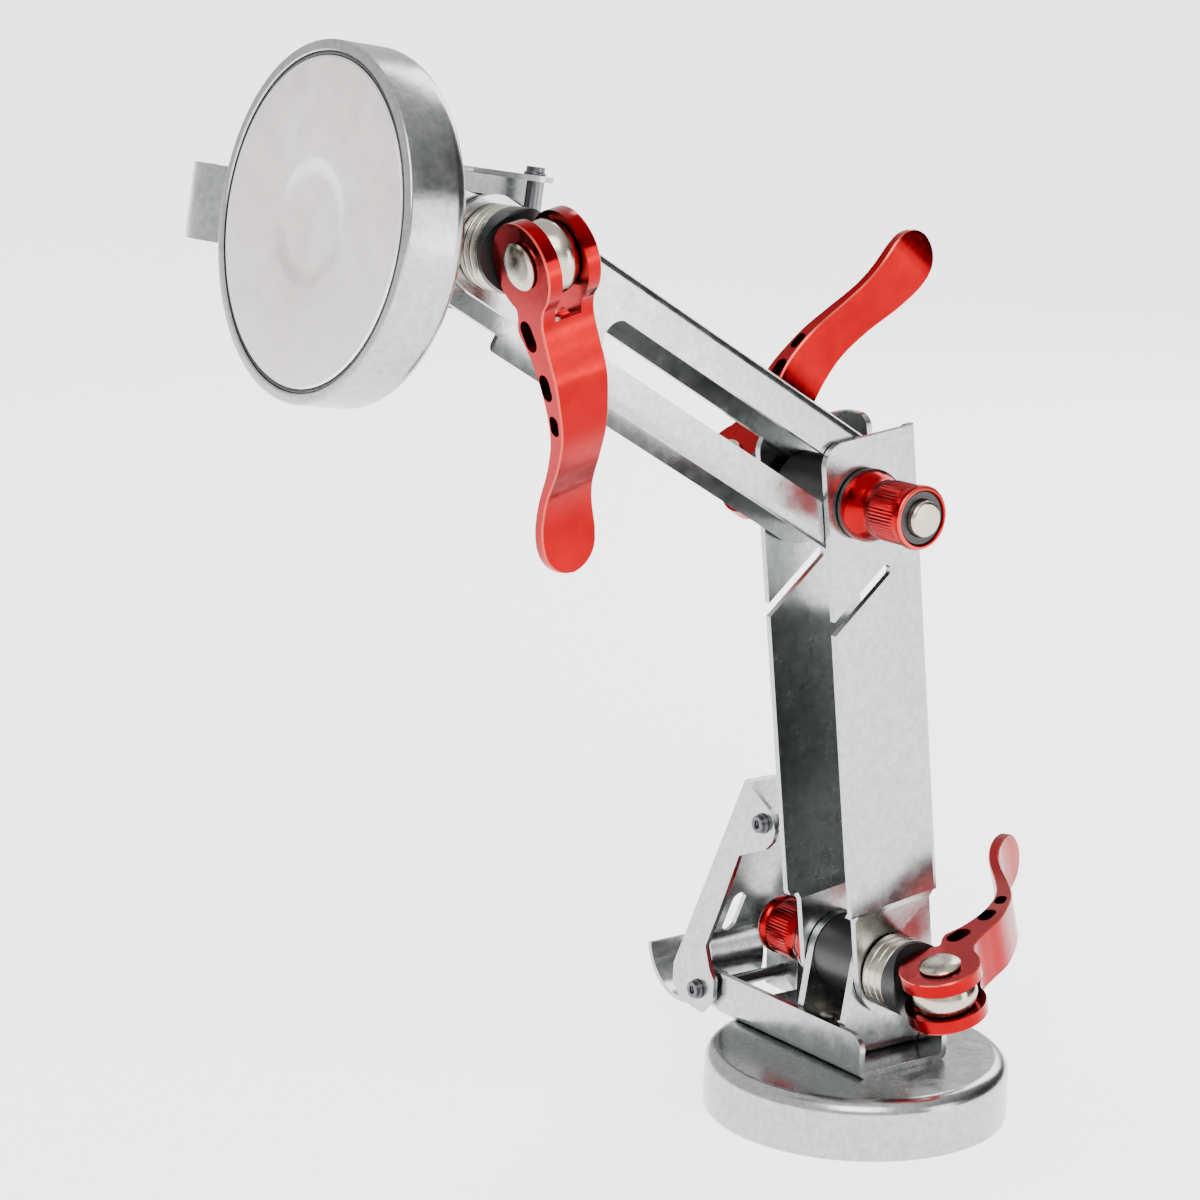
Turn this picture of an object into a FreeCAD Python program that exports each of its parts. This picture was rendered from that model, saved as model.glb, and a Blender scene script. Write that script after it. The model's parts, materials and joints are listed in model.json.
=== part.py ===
"""Double-head magnetic support clamp: two pot-magnet heads on a folding two-link arm.

Frame: millimetres, +Z up.  The origin is the centre of the lower magnet's face, which is the
face that the clamp stands on.  All three arm pivots run along Y.
"""
import FreeCAD, Part
import math
import os
import re
import Sketcher
from FreeCAD import Placement, Rotation, Vector

doc = FreeCAD.newDocument("MagneticClamp")

# --------------------------------------------------------------------------- driving dimensions
DIMENSIONS = [
    # pot magnet
    ("cup_radius", 35.0), ("cup_height", 13.8), ("cup_wall", 2.2), ("cup_roof", 3.4),
    ("cup_crown", 3.4), ("cup_lip", 0.6), ("disc_radius", 31.9), ("disc_depth", 8.0),
    ("resin_recess", 0.5), ("fit_gap", 0.03),
    # base channel on the back of the magnet
    ("base_half", 13.0), ("base_neck_half", 12.2), ("base_sheet", 1.5), ("base_rise", 10.2),
    ("base_front", 16.3), ("base_shoulder", 36.0), ("base_far", 47.0), ("base_floor_end", 35.0),
    ("base_corner", 4.0), ("base_bend", 1.8),
    # clevis bracket inside the base channel
    ("pivot_height", 36.0), ("clevis_half", 8.5), ("clevis_sheet", 2.0), ("clevis_foot", 11.2),
    ("clevis_skirt", 23.0), ("clevis_ear", 8.8), ("clevis_tangent", 9.9), ("clevis_bend", 3.0),
    ("screw_pitch", 3.4), ("screw_shank", 1.95), ("screw_hole", 2.05), ("screw_head", 3.1),
    ("screw_head_rise", 3.0), ("screw_tail", 3.0), ("cross_slot", 0.9),
    # release lever
    ("release_sheet", 1.2), ("release_inner", 13.8), ("release_pivot_y", 41.0),
    ("release_pivot_z", 18.8), ("release_pin_y", 18.7), ("release_pin_z", 65.3),
    ("release_tongue", 15.8), ("tongue_leave", 31.2), ("tongue_turn", 45.4),
    ("tongue_bend", 6.0), ("foot_radius", 12.3), ("foot_sweep", 192.7), ("tongue_top", 37.0),
    ("tongue_slot_x", -3.0), ("tongue_slot_low", 32.0), ("tongue_slot_high", 39.0),
    ("tongue_slot_half", 1.9), ("bolt_radius", 1.5), ("bolt_hole", 1.56), ("bolt_head", 2.0),
    ("bolt_head_rise", 1.2), ("bolt_collar", 2.4), ("bolt_collar_rise", 0.6),
    ("bolt_socket", 1.05), ("bolt_nut", 2.9), ("bolt_nut_rise", 2.2),
    # arms
    ("arm_sheet", 1.5), ("lower_half", 12.1), ("upper_half", 10.3), ("arm_bend", 2.2),
    ("lower_front", 11.6), ("lower_back", 14.7), ("lower_step", 15.8), ("lower_top", 124.6),
    ("lower_corner", 5.0), ("lower_ear", 11.05), ("lower_ear_shift", 1.75),
    ("lower_ear_drop", 0.35), ("relief_width", 2.7), ("relief_front", 83.8),
    ("relief_end", 95.6), ("relief_back", 6.5), ("window_low", 76.0), ("window_high", 117.0),
    ("tab_near", 7.0), ("tab_far", 3.4), ("tab_corner", 3.0), ("joggle", 2.4),
    ("upper_front", 12.4), ("upper_back", 13.3), ("upper_reach", 113.2), ("upper_offset", 1.6),
    ("upper_step", 22.9), ("upper_ear", 10.3), ("upper_web_gap", 16.0),
    ("upper_round", 12.85), ("upper_round_shift", 0.45), ("slot_half", 4.5),
    ("slot_far", 75.6), ("rod_window", 4.3),
    # pose of the links
    ("lower_lean", 7.0), ("elbow_along", 110.0), ("elbow_forward", 1.6), ("upper_rise", 30.8),
    ("upper_head_turn", 98.38),
    # skewers
    ("rod_radius", 4.0), ("rod_hole", 4.06), ("face_gap", 0.3), ("washer_radius", 8.6),
    ("washer_thick", 2.15), ("washer_edge", 0.4), ("cup_washer_radius", 8.6),
    ("cup_washer_rise", 4.55), ("cup_notch", 6.4), ("cup_notch_low", 9.6),
    ("cam_standoff", 18.3), ("cam_room", 10.75),
    ("eye_radius", 7.4), ("eye_half", 2.7), ("spacer_radius", 8.5), ("elbow_spacer_radius", 8.5),
    ("pin_radius", 3.0), ("pin_hole", 3.05), ("pin_head_radius", 4.7), ("pin_head_rise", 1.5),
    ("pin_tail_radius", 3.8), ("pin_tail_rise", 1.0),
    ("nut_length", 17.9), ("insert_radius", 5.8), ("insert_depth", 4.0), ("insert_set", 0.5),
    ("nut_washer_radius", 7.9), ("nut_washer_thick", 0.9),
    ("rod_tail", 1.2), ("rod_chamfer", 0.9), ("neck_start", 10.4),
    # cam lever
    ("lever_width", 13.2), ("fork_half", 3.1), ("fork_depth", 12.0), ("ear_radius", 9.2),
    ("ear_offset", 0.8),
]
# Freeform outlines, as (first, second) coordinates of their corners
OUTLINES = {
    # release lever's side plate: y and z of the head
    "plate": [(25.6, 74.2), (50.6, 22.6), (50.8, 17.2), (46.9, 14.2), (39.4, 13.3), (35.1, 18.2),
              (34.9, 22.5), (36.6, 24.6), (38.5, 30.1), (34.1, 39.4), (27.0, 55.4), (17.5, 59.3),
              (15.1, 61.6), (14.1, 64.4), (14.9, 67.2), (17.2, 69.4)],
    # room between the plates, under the web
    "room": [(21.46, 80.0), (42.78, 36.0), (60.0, 36.0), (60.0, 5.0), (5.0, 5.0), (5.0, 80.0)],
    # knurled nut: radius and height above the face that it is tightened on
    "nut": [(4.04, 0.0), (7.7, 0.0), (8.0, 0.3), (8.0, 1.5), (7.6, 2.7), (6.9, 4.1), (6.2, 5.4),
            (6.1, 6.2), (6.5, 7.4), (6.6, 15.2), (6.9, 15.8), (6.9, 17.4), (6.4, 17.9),
            (5.83, 17.9), (5.83, 13.9), (4.04, 13.9)],
    # cam lever from the side: distance along it and height towards the arm
    "blade": [(0.0, -8.3), (5.0, -6.4), (8.0, -4.0), (12.0, -1.6), (18.0, -1.0), (24.0, -0.8),
              (30.0, 0.9), (36.0, 3.6), (42.0, 8.4), (48.0, 14.2), (53.0, 17.3), (58.0, 18.9),
              (63.0, 19.9), (65.0, 20.7), (64.2, 21.5), (62.0, 21.8), (58.0, 21.7), (53.0, 20.2),
              (48.0, 17.3), (42.0, 12.3), (36.0, 8.0), (30.0, 5.8), (24.0, 5.1), (18.0, 5.9),
              (13.0, 7.6), (9.8, 6.3), (0.0, 5.0)],
    # cam lever from outside: half width and distance along it
    "plan": [(6.3, -12.0), (6.3, 26.0), (5.4, 43.0), (6.6, 56.0), (6.2, 60.5), (4.6, 63.6),
             (2.4, 65.0)],
}
# Oblong lightening slots through the cam lever: distance along, height, length, width, slope
LEVER_SLOTS = [(14.0, 4.1, 6.4, 3.8, -10.0), (24.4, 3.0, 5.5, 3.3, 4.0),
               (32.3, 4.3, 4.4, 2.6, 20.0)]
for outline_name, outline_corners in OUTLINES.items():
    for index, corner in enumerate(outline_corners):
        DIMENSIONS.append(("%s_a%d" % (outline_name, index), corner[0]))
        DIMENSIONS.append(("%s_b%d" % (outline_name, index), corner[1]))
for index, slot in enumerate(LEVER_SLOTS):
    for quantity, number in zip(("along", "height", "length", "width", "slope"), slot):
        DIMENSIONS.append(("slot%d_%s" % (index, quantity), number))
sheet = doc.addObject("Spreadsheet::Sheet", "Dims")
for row, (alias, number) in enumerate(DIMENSIONS, start=1):
    sheet.set("A%d" % row, alias)
    sheet.set("B%d" % row, str(number))
    sheet.setAlias("B%d" % row, alias)
doc.recompute()


def value(expression):
    """Number that an expression in the sheet's names gives, for code that needs it at once."""
    return float(sheet.evalExpression(expression))


def link(expression):
    """The same expression as other objects write it, with every name read from the sheet."""
    return re.sub(r"\b(?!cos\b|sin\b)([a-z]\w*)", r"Dims.\1", expression)


def bind(obj, **expressions):
    """Tie each property to the sheet; an underscore in the name stands for a dot."""
    for name, expression in expressions.items():
        obj.setExpression(name.replace("_", "."), link(expression))
    return obj


def corners_of(name):
    """Names of the sheet's cells that hold the corners of one freeform outline."""
    return [("%s_a%d" % (name, index), "%s_b%d" % (name, index))
            for index in range(len(OUTLINES[name]))]


# --------------------------------------------------------------------------- primitives
def box(name, size, corner):
    """Part::Box with its three sizes and its low corner tied to the sheet."""
    solid = doc.addObject("Part::Box", name)
    bind(solid, Length=size[0], Width=size[1], Height=size[2])
    bind(solid, Placement_Base_x=corner[0], Placement_Base_y=corner[1],
         Placement_Base_z=corner[2])
    return solid


def cylinder(name, radius, height, base=("0", "0", "0"), along="z"):
    """Part::Cylinder from base, along one axis of the local frame."""
    solid = doc.addObject("Part::Cylinder", name)
    turns = {"z": Rotation(), "x": Rotation(Vector(0, 1, 0), 90),
             "y": Rotation(Vector(1, 0, 0), -90)}
    solid.Placement = Placement(Vector(), turns[along])
    bind(solid, Radius=radius, Height=height)
    bind(solid, Placement_Base_x=base[0], Placement_Base_y=base[1], Placement_Base_z=base[2])
    return solid


def fuse(name, *shapes):
    """Union of two or more solids, with the seams between coplanar faces removed."""
    union = doc.addObject("Part::MultiFuse", name)
    union.Shapes = list(shapes)
    union.Refine = True
    return union


def bored(radius, reach, base=("0", "0", "0")):
    """Cylinder across the clamp, parallel to Y, as a tool for a hole right through."""
    x, y, z = base
    return cylinder("Bore", radius, reach + " * 2", (x, "(" + y + ") - " + reach, z), "y")


def common(name, *shapes):
    """Intersection of the solids."""
    shared = doc.addObject("Part::MultiCommon", name)
    shared.Shapes = list(shapes)
    return shared


def cut(name, base, *tools):
    """Base minus every tool, one Part::Cut after another."""
    result = base
    for tool in tools:
        step = doc.addObject("Part::Cut", name)
        step.Base = result
        step.Tool = tool
        step.Refine = True
        result = step
    return result


def rounded(name, base, radius, picks):
    """Part::Fillet of every edge whose middle point satisfies picks."""
    doc.recompute()
    numbers = []
    for number, edge in enumerate(base.Shape.Edges, start=1):
        middle = edge.valueAt((edge.FirstParameter + edge.LastParameter) / 2)
        if picks(edge, middle):
            numbers.append((number, value(radius), value(radius)))
    fillet = doc.addObject("Part::Fillet", name)
    fillet.Base = base
    fillet.Edges = numbers
    return fillet


def is_line(edge, axis):
    """True for a straight edge that runs along the given unit vector."""
    if not isinstance(edge.Curve, Part.Line):
        return False
    return abs(abs(edge.Curve.Direction.dot(axis)) - 1) < 1e-6


def near(a, b, tolerance=0.02):
    return abs(a - b) < tolerance


# --------------------------------------------------------------------------- sketched bodies
def sketch_on(body, role, corners):
    """Closed straight-sided outline on an origin plane, every corner tied to the sheet."""
    plane = next(item for item in body.Origin.OriginFeatures if item.Role == role)
    sketch = body.newObject("Sketcher::SketchObject", "Outline")
    sketch.AttachmentSupport = [(plane, "")]
    sketch.MapMode = "FlatFace"
    spots = [Vector(value(x), value(y), 0) for x, y in corners]
    count = len(spots)
    for index, spot in enumerate(spots):
        sketch.addGeometry(Part.LineSegment(spot, spots[(index + 1) % count]), False)
    for index in range(count):
        follower = (index + 1) % count
        sketch.addConstraint(Sketcher.Constraint("Coincident", index, 2, follower, 1))
    for index, (x, y) in enumerate(corners):
        for kind, expression in (("DistanceX", x), ("DistanceY", y)):
            number = sketch.addConstraint(
                Sketcher.Constraint(kind, -1, 1, index, 1, value(expression)))
            sketch.setExpression("Constraints[%d]" % number, link(expression))
    return sketch


def new_body(label):
    body = doc.addObject("PartDesign::Body", "Body")
    body.Label = label
    return body


def turned(label, corners):
    """Body of revolution about local Z; corners are (radius, height) pairs."""
    body = new_body(label)
    sketch = sketch_on(body, "XZ_Plane", corners)
    turn = body.newObject("PartDesign::Revolution", "Turn")
    turn.Profile = sketch
    turn.ReferenceAxis = (sketch, ["V_Axis"])
    turn.Angle = 360
    return body


def padded(label, role, corners, width):
    """Body of an outline padded to both sides of its plane, to the full width given."""
    body = new_body(label)
    sketch = sketch_on(body, role, corners)
    pad = body.newObject("PartDesign::Pad", "Pad")
    pad.Profile = sketch
    pad.Midplane = True
    pad.setExpression("Length", link(width))
    return body


def body_fillet(body, radius, picks):
    """PartDesign fillet on the edges of the body's tip whose middle satisfies picks."""
    doc.recompute()
    tip = body.Tip
    names = []
    for number, edge in enumerate(tip.Shape.Edges, start=1):
        middle = edge.valueAt((edge.FirstParameter + edge.LastParameter) / 2)
        if picks(edge, middle):
            names.append("Edge%d" % number)
    fillet = body.newObject("PartDesign::Fillet", "Round")
    fillet.Base = (tip, names)
    fillet.setExpression("Radius", link(radius))
    return body


# --------------------------------------------------------------------------- collection
nodes = {}


def keep(label, obj, placement):
    """Name one finished sub-part and put it where it sits in the clamp."""
    obj.Label = label
    obj.Placement = placement
    nodes[label] = obj
    return obj


# --------------------------------------------------------------------------- frames
def link_frame(origin, lean):
    """Frame of a sheet-metal link: local Z along it, local X on the side of its web."""
    return Placement(origin, Rotation(Vector(0, 1, 0), -lean))


def skewer_frame(origin, nut_side, lever_angle):
    """Local Z runs along the rod to its nut, local Y the way that the cam lever points."""
    lever = Vector(math.cos(math.radians(lever_angle)), 0, math.sin(math.radians(lever_angle)))
    rod = Vector(0, nut_side, 0)
    return Placement(origin, Rotation(lever.cross(rod), lever, rod, "ZYX"))


lower_head_frame = Placement()
ankle = Vector(0, 0, value("pivot_height"))
lower_arm_frame = link_frame(ankle, value("lower_lean"))
elbow = lower_arm_frame.multVec(Vector(-value("elbow_forward"), 0, value("elbow_along")))
upper_arm_frame = link_frame(elbow, 90 - value("upper_rise"))
wrist = upper_arm_frame.multVec(Vector(value("upper_offset"), 0, value("upper_reach")))
head_turn = Rotation(Vector(0, 1, 0), value("upper_head_turn"))
upper_head_frame = Placement(wrist - head_turn.multVec(ankle), head_turn)


# --------------------------------------------------------------------------- pot magnet
def magnet_cup(label, frame):
    """Steel cup, open below, with a well-rounded crown and two tapped holes in its roof."""
    body = turned("CupTurning", [
        ("0", "cup_height - cup_roof"), ("cup_radius - cup_wall", "cup_height - cup_roof"),
        ("cup_radius - cup_wall", "0"), ("cup_radius", "0"), ("cup_radius", "cup_height"),
        ("0", "cup_height")])
    rim = value("cup_radius")
    body_fillet(body, "cup_crown",
                lambda edge, at: near(at.z, value("cup_height")) and near(math.hypot(at.x, at.y), rim))
    body_fillet(body, "cup_lip",
                lambda edge, at: near(at.z, 0) and near(math.hypot(at.x, at.y), rim))
    holes = screw_holes("cup_height - cup_roof - cup_roof", "cup_roof * 3")
    keep(label, cut("Cup", body, *holes), frame)


def screw_holes(bottom, depth):
    """The two holes on the pivot's line that the clevis screws go through."""
    return [cylinder("ScrewHole", "screw_hole", depth, ("0", sign + "screw_pitch", bottom))
            for sign in ("-", "")]


def magnet_disc(label, frame):
    """Face disc that the pot magnet grips with."""
    disc = turned("DiscTurning", [("0", "0"), ("disc_radius", "0"), ("disc_radius", "disc_depth"),
                                  ("0", "disc_depth")])
    keep(label, disc, frame)


def resin_ring(label, frame):
    """Dark resin that seals the gap between the face disc and the cup, set a little back."""
    ring = turned("ResinTurning", [
        ("disc_radius + fit_gap", "resin_recess"),
        ("cup_radius - cup_wall - fit_gap", "resin_recess"),
        ("cup_radius - cup_wall - fit_gap", "disc_depth"),
        ("disc_radius + fit_gap", "disc_depth")])
    keep(label, ring, frame)


# --------------------------------------------------------------------------- head sheet metal
def trough(name, half, sheet_name, start, length):
    """U section along Y, open above: outer half width, sheet, first end and length."""
    outer = box(name + "Outer", (half + " * 2", length, "base_rise"),
                ("-" + half, start, "cup_height"))
    along = Vector(0, 1, 0)
    outer = rounded(name + "Bends", outer, "base_bend",
                    lambda edge, at: is_line(edge, along) and near(at.z, value("cup_height")))
    inner = box(name + "Inner",
                ("(" + half + " - " + sheet_name + ") * 2", length, "base_rise"),
                (sheet_name + " - " + half, start, "cup_height + " + sheet_name))
    return cut(name, outer, inner)


def base_channel(label, frame):
    """Channel on the magnet's back; its far end is drawn in where the release lever straddles."""
    front = trough("Front", "base_half", "base_sheet", "-base_front",
                   "base_front + base_shoulder")
    neck = trough("Neck", "base_neck_half", "base_sheet", "base_floor_end",
                  "base_far - base_floor_end")
    blank = fuse("BaseBlank", front, neck)
    across = Vector(1, 0, 0)
    top = value("cup_height + base_rise")
    ends = (-value("base_front"), value("base_far"))
    blank = rounded("BaseCorners", blank, "base_corner",
                    lambda edge, at: is_line(edge, across) and near(at.z, top)
                    and any(near(at.y, end) for end in ends))
    pin = cylinder("BaseCross", "bolt_hole", "base_half * 4",
                   ("-base_half * 2", "release_pivot_y", "release_pivot_z"), "x")
    holes = screw_holes("cup_height - base_sheet", "base_sheet * 3")
    inner = "(base_neck_half - base_sheet)"
    opening = box("BaseOpening", (inner + " * 2", "base_far - base_shoulder + 1", "base_rise"),
                  ("-" + inner, "base_shoulder", "cup_height - base_sheet"))
    keep(label, cut("Base", blank, pin, opening, *holes), frame)


def clevis_bracket(label, frame):
    """Bent bracket in the channel; its two ears carry the head's pivot rod."""
    floor = "cup_height + base_sheet"
    outline = padded("ClevisOutline", "XZ_Plane", [
        ("-clevis_foot", floor), ("clevis_foot", floor), ("clevis_foot", "clevis_skirt"),
        ("clevis_ear * cos(clevis_tangent)",
         "pivot_height + clevis_ear * sin(clevis_tangent)"),
        ("-clevis_ear * cos(clevis_tangent)",
         "pivot_height + clevis_ear * sin(clevis_tangent)"),
        ("-clevis_foot", "clevis_skirt")], "clevis_half * 2")
    crown = cylinder("ClevisCrown", "clevis_ear", "clevis_half * 2",
                     ("0", "-clevis_half", "pivot_height"), "y")
    blank = fuse("ClevisBlank", outline, crown)
    across = Vector(1, 0, 0)
    blank = rounded("ClevisBends", blank, "clevis_bend",
                    lambda edge, at: is_line(edge, across) and near(at.z, value(floor)))
    room = box("ClevisRoom",
               ("clevis_foot * 2", "(clevis_half - clevis_sheet) * 2", "pivot_height"),
               ("-clevis_foot", "clevis_sheet - clevis_half", floor + " + clevis_sheet"))
    bore = cylinder("ClevisBore", "rod_hole", "clevis_half * 4",
                    ("0", "-clevis_half * 2", "pivot_height"), "y")
    holes = screw_holes("cup_height", "cup_height")
    keep(label, cut("Clevis", blank, room, bore, *holes), frame)


def clevis_screws(label, frame):
    """Two pan-head cross-recess screws that hold bracket and channel to the magnet."""
    seat = "cup_height + base_sheet + clevis_sheet"
    screws = []
    for sign in ("-", ""):
        middle = sign + "screw_pitch"
        shank = cylinder("ScrewShank", "screw_shank", "screw_tail + base_sheet + clevis_sheet",
                         ("0", middle, "cup_height - screw_tail"))
        head = cylinder("ScrewHead", "screw_head", "screw_head_rise", ("0", middle, seat))
        top = value(seat + " + screw_head_rise")
        head = rounded("ScrewDome", head, "screw_head * 0.45",
                       lambda edge, at: near(at.z, top) and edge.Closed)
        long_arm, short_arm = "screw_head * 1.2", "cross_slot"
        recess = [box("Recess", (x_size, y_size, "screw_head_rise"),
                      ("-" + x_size + " / 2", middle + " - " + y_size + " / 2",
                       seat + " + screw_head_rise / 2"))
                  for x_size, y_size in ((long_arm, short_arm), (short_arm, long_arm))]
        screws.append(cut("Screw", fuse("ScrewBlank", shank, head), *recess))
    pair = doc.addObject("Part::Compound", "Screws")
    pair.Links = screws
    keep(label, pair, frame)


# --------------------------------------------------------------------------- release lever
RELEASE_BOLTS = {"pivot": ("release_pivot_y", "release_pivot_z"),
                 "top": ("release_pin_y", "release_pin_z")}


def strip_arc(name, centre, radius, start, sweep):
    """Strip of the foot bent about a line parallel to X; angles run from +Y towards +Z."""
    facing = Rotation(Vector(1, 0, 0), start + 90).multiply(Rotation(Vector(0, 1, 0), 90))
    corner = Vector(-value("release_tongue") / 2, centre.y, centre.z)
    layers = []
    for side, angle in ((" + ", sweep), (" - ", 360)):
        layer = doc.addObject("Part::Cylinder", name)
        layer.Placement = Placement(corner, facing)
        layer.Angle = angle
        bind(layer, Radius=radius + side + "release_sheet / 2", Height="release_tongue")
        layers.append(layer)
    return cut(name, *layers)


def tongue():
    """Narrow strip that runs on from the web and curls into the hooked foot."""
    top = Vector(0, value("plate_a0"), value("plate_b0"))
    along = Vector(0, value("plate_a1"), value("plate_b1")) - top
    along.normalize()
    inward = Vector(0, along.z, -along.y)
    middle = top + inward * (value("release_sheet") / 2)
    leave = middle + along * ((value("tongue_leave") - middle.z) / along.z)
    start = middle + along * ((value("tongue_top") - middle.z) / along.z)

    heading = math.degrees(math.atan2(along.z, along.y))
    straight = doc.addObject("Part::Box", "TongueStraight")
    bind(straight, Length="release_tongue", Width="release_sheet")
    straight.Height = (leave - start).Length
    corner = leave + inward * (value("release_sheet") / 2)
    straight.Placement = Placement(Vector(-value("release_tongue") / 2, corner.y, corner.z),
                                   Rotation(Vector(1, 0, 0), heading + 90))

    bend_centre = leave + inward * value("tongue_bend")
    bend_end = heading + 90 - value("tongue_turn")
    bend = strip_arc("TongueBend", bend_centre, "tongue_bend", bend_end, value("tongue_turn"))
    outward = Vector(0, math.cos(math.radians(bend_end)), math.sin(math.radians(bend_end)))
    foot_centre = bend_centre + outward * (value("tongue_bend") + value("foot_radius"))
    foot = strip_arc("Foot", foot_centre, "foot_radius", bend_end + 180, value("foot_sweep"))
    return [straight, bend, foot]


def release_lever(label, frame):
    """Two side plates joined by a web, which runs on below as a narrow hooked foot."""
    plates = padded("Plates", "YZ_Plane", corners_of("plate"),
                    "(release_inner + release_sheet) * 2")
    room = padded("PlateRoom", "YZ_Plane", corners_of("room"), "release_inner * 2")
    blank = fuse("LeverBlank", cut("LeverPlates", plates, room), *tongue())
    reach = "release_pin_z"
    slot = [cylinder("TongueSlot", "tongue_slot_half", reach, ("tongue_slot_x", "plate_a6", level),
                     "y") for level in ("tongue_slot_low", "tongue_slot_high")]
    slot.append(box("TongueSlot",
                    ("tongue_slot_half * 2", reach, "tongue_slot_high - tongue_slot_low"),
                    ("tongue_slot_x - tongue_slot_half", "plate_a6", "tongue_slot_low")))
    holes = [cylinder("PlateHole", "bolt_hole", "release_inner * 4",
                      ("-release_inner * 2", y, z), "x") for y, z in RELEASE_BOLTS.values()]
    keep(label, cut("Lever", blank, *slot, *holes), frame)


def release_bolt(label, frame, spot):
    """Socket-head bolt with a collar, right through both plates."""
    y, z = spot
    face = "(release_inner + release_sheet)"
    shank = cylinder("BoltShank", "bolt_radius", face + " * 2 + bolt_nut_rise + bolt_collar_rise",
                     ("-" + face + " - bolt_collar_rise / 2", y, z), "x")
    collar = cylinder("BoltCollar", "bolt_collar", "bolt_collar_rise",
                      ("-" + face + " - bolt_collar_rise", y, z), "x")
    head_start = "-" + face + " - bolt_collar_rise - bolt_head_rise"
    head = cylinder("BoltHead", "bolt_head", "bolt_head_rise", (head_start, y, z), "x")
    socket = doc.addObject("Part::Prism", "BoltSocket")
    socket.Polygon = 6
    socket.Placement = Placement(Vector(), Rotation(Vector(0, 1, 0), 90))
    bind(socket, Circumradius="bolt_socket", Height="bolt_head_rise", Placement_Base_y=y,
         Placement_Base_z=z, Placement_Base_x=head_start + " - bolt_head_rise * 0.4")
    keep(label, cut("Bolt", fuse("BoltBlank", shank, collar, head), socket), frame)


def release_nut(label, frame, spot):
    """Hexagon nut against the other plate."""
    y, z = spot
    face = "release_inner + release_sheet"
    blank = doc.addObject("Part::Prism", "NutBlank")
    blank.Polygon = 6
    blank.Placement = Placement(Vector(), Rotation(Vector(0, 1, 0), 90))
    bind(blank, Circumradius="bolt_nut", Height="bolt_nut_rise", Placement_Base_x=face,
         Placement_Base_y=y, Placement_Base_z=z)
    bore = cylinder("NutBore", "bolt_radius + fit_gap", "bolt_nut_rise * 3",
                    (face + " - bolt_nut_rise", y, z), "x")
    keep(label, cut("Nut", blank, bore), frame)


# --------------------------------------------------------------------------- arms
def lower_arm(label, frame):
    """U channel; its foot is drawn in to two ears, its web is opened for the upper arm."""
    height = "lower_top - lower_step"
    wall = box("ArmWall", ("lower_front + lower_back", "lower_half * 2", height),
               ("-lower_front", "-lower_half", "lower_step"))
    top, front, back = value("lower_top"), -value("lower_front"), value("lower_back")
    across, along = Vector(0, 1, 0), Vector(0, 0, 1)
    wall = rounded("ArmCorners", wall, "lower_corner",
                   lambda edge, at: is_line(edge, across) and near(at.z, top)
                   and near(at.x, front))
    wall = rounded("ArmBends", wall, "arm_bend",
                   lambda edge, at: is_line(edge, along) and near(at.x, back))
    ear = box("EarWall", ("lower_ear * 2", "lower_half * 2", "lower_step + lower_ear_drop"),
              ("lower_ear_shift - lower_ear", "-lower_half", "-lower_ear_drop"))
    ear_end = cylinder("EarRound", "lower_ear", "lower_half * 2",
                       ("lower_ear_shift", "-lower_half", "-lower_ear_drop"), "y")
    outer = fuse("ArmBlank", wall, ear, ear_end)

    low, high = "-lower_ear * 2", "lower_top + arm_sheet"
    drawn = "upper_half"
    half_outer = [("lower_half", high), ("lower_half", "lower_step + joggle / 4"),
                  (drawn, "lower_step - joggle * 3 / 4"), (drawn, low)]
    shift = "arm_sheet"
    half_inner = [("lower_half - " + shift, high),
                  ("lower_half - " + shift, "lower_step + joggle / 2"),
                  (drawn + " - " + shift, "lower_step - joggle / 2"), (drawn + " - " + shift, low)]
    sections = []
    for name, half in (("ArmFront", half_outer), ("ArmRoom", half_inner)):
        mirrored = [("-(" + y + ")", z) for y, z in reversed(half)]
        sections.append(padded(name, "YZ_Plane", half + mirrored, "lower_back * 4"))
    room = sections[1]
    bind(room, Placement_Base_x="lower_back - arm_sheet - lower_back * 2")

    inner = "(lower_half - arm_sheet)"
    window = box("ArmWindow", ("arm_sheet * 4", inner + " * 2", "window_high - window_low"),
                 ("lower_back - arm_sheet * 2", "-" + inner, "window_low"))
    gap = box("ArmGap", ("arm_sheet * 4", "tab_near + tab_far", "lower_top - window_high + 1"),
              ("lower_back - arm_sheet * 2", "-tab_near", "window_high"))

    run = Vector(value("relief_back + lower_front"), 0, value("relief_end - relief_front"))
    tilt = math.degrees(math.atan2(run.z, run.x))
    run.normalize()
    side = Vector(-run.z, 0, run.x) * (value("relief_width") / 2)
    slit_start = Vector(front, -value("lower_half") * 2, value("relief_front"))
    relief = doc.addObject("Part::Box", "ArmRelief")
    relief.Placement = Placement(slit_start - run * value("relief_width") - side,
                                 Rotation(Vector(0, 1, 0), -tilt))
    bind(relief, Length="lower_front + relief_back + relief_width", Width="lower_half * 4",
         Height="relief_width")
    tip = slit_start + run * value("lower_front + relief_back")
    relief_end = doc.addObject("Part::Cylinder", "ArmReliefEnd")
    relief_end.Placement = Placement(tip, Rotation(Vector(1, 0, 0), -90))
    bind(relief_end, Radius="relief_width / 2", Height="lower_half * 4")

    holes = [bored("rod_window", "lower_half * 2"),
             bored("rod_window", "lower_half * 2", ("-elbow_forward", "0", "elbow_along"))]
    shell = cut("Arm", common("ArmShape", outer, sections[0]), room, window, gap, relief,
                relief_end, *holes)
    edge_y = (-value("tab_near"), value("tab_far"))
    shell = rounded("ArmTabs", shell, "tab_corner",
                    lambda edge, at: is_line(edge, Vector(1, 0, 0)) and near(at.z, top)
                    and any(near(at.y, y) for y in edge_y))
    keep(label, shell, frame)


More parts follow.
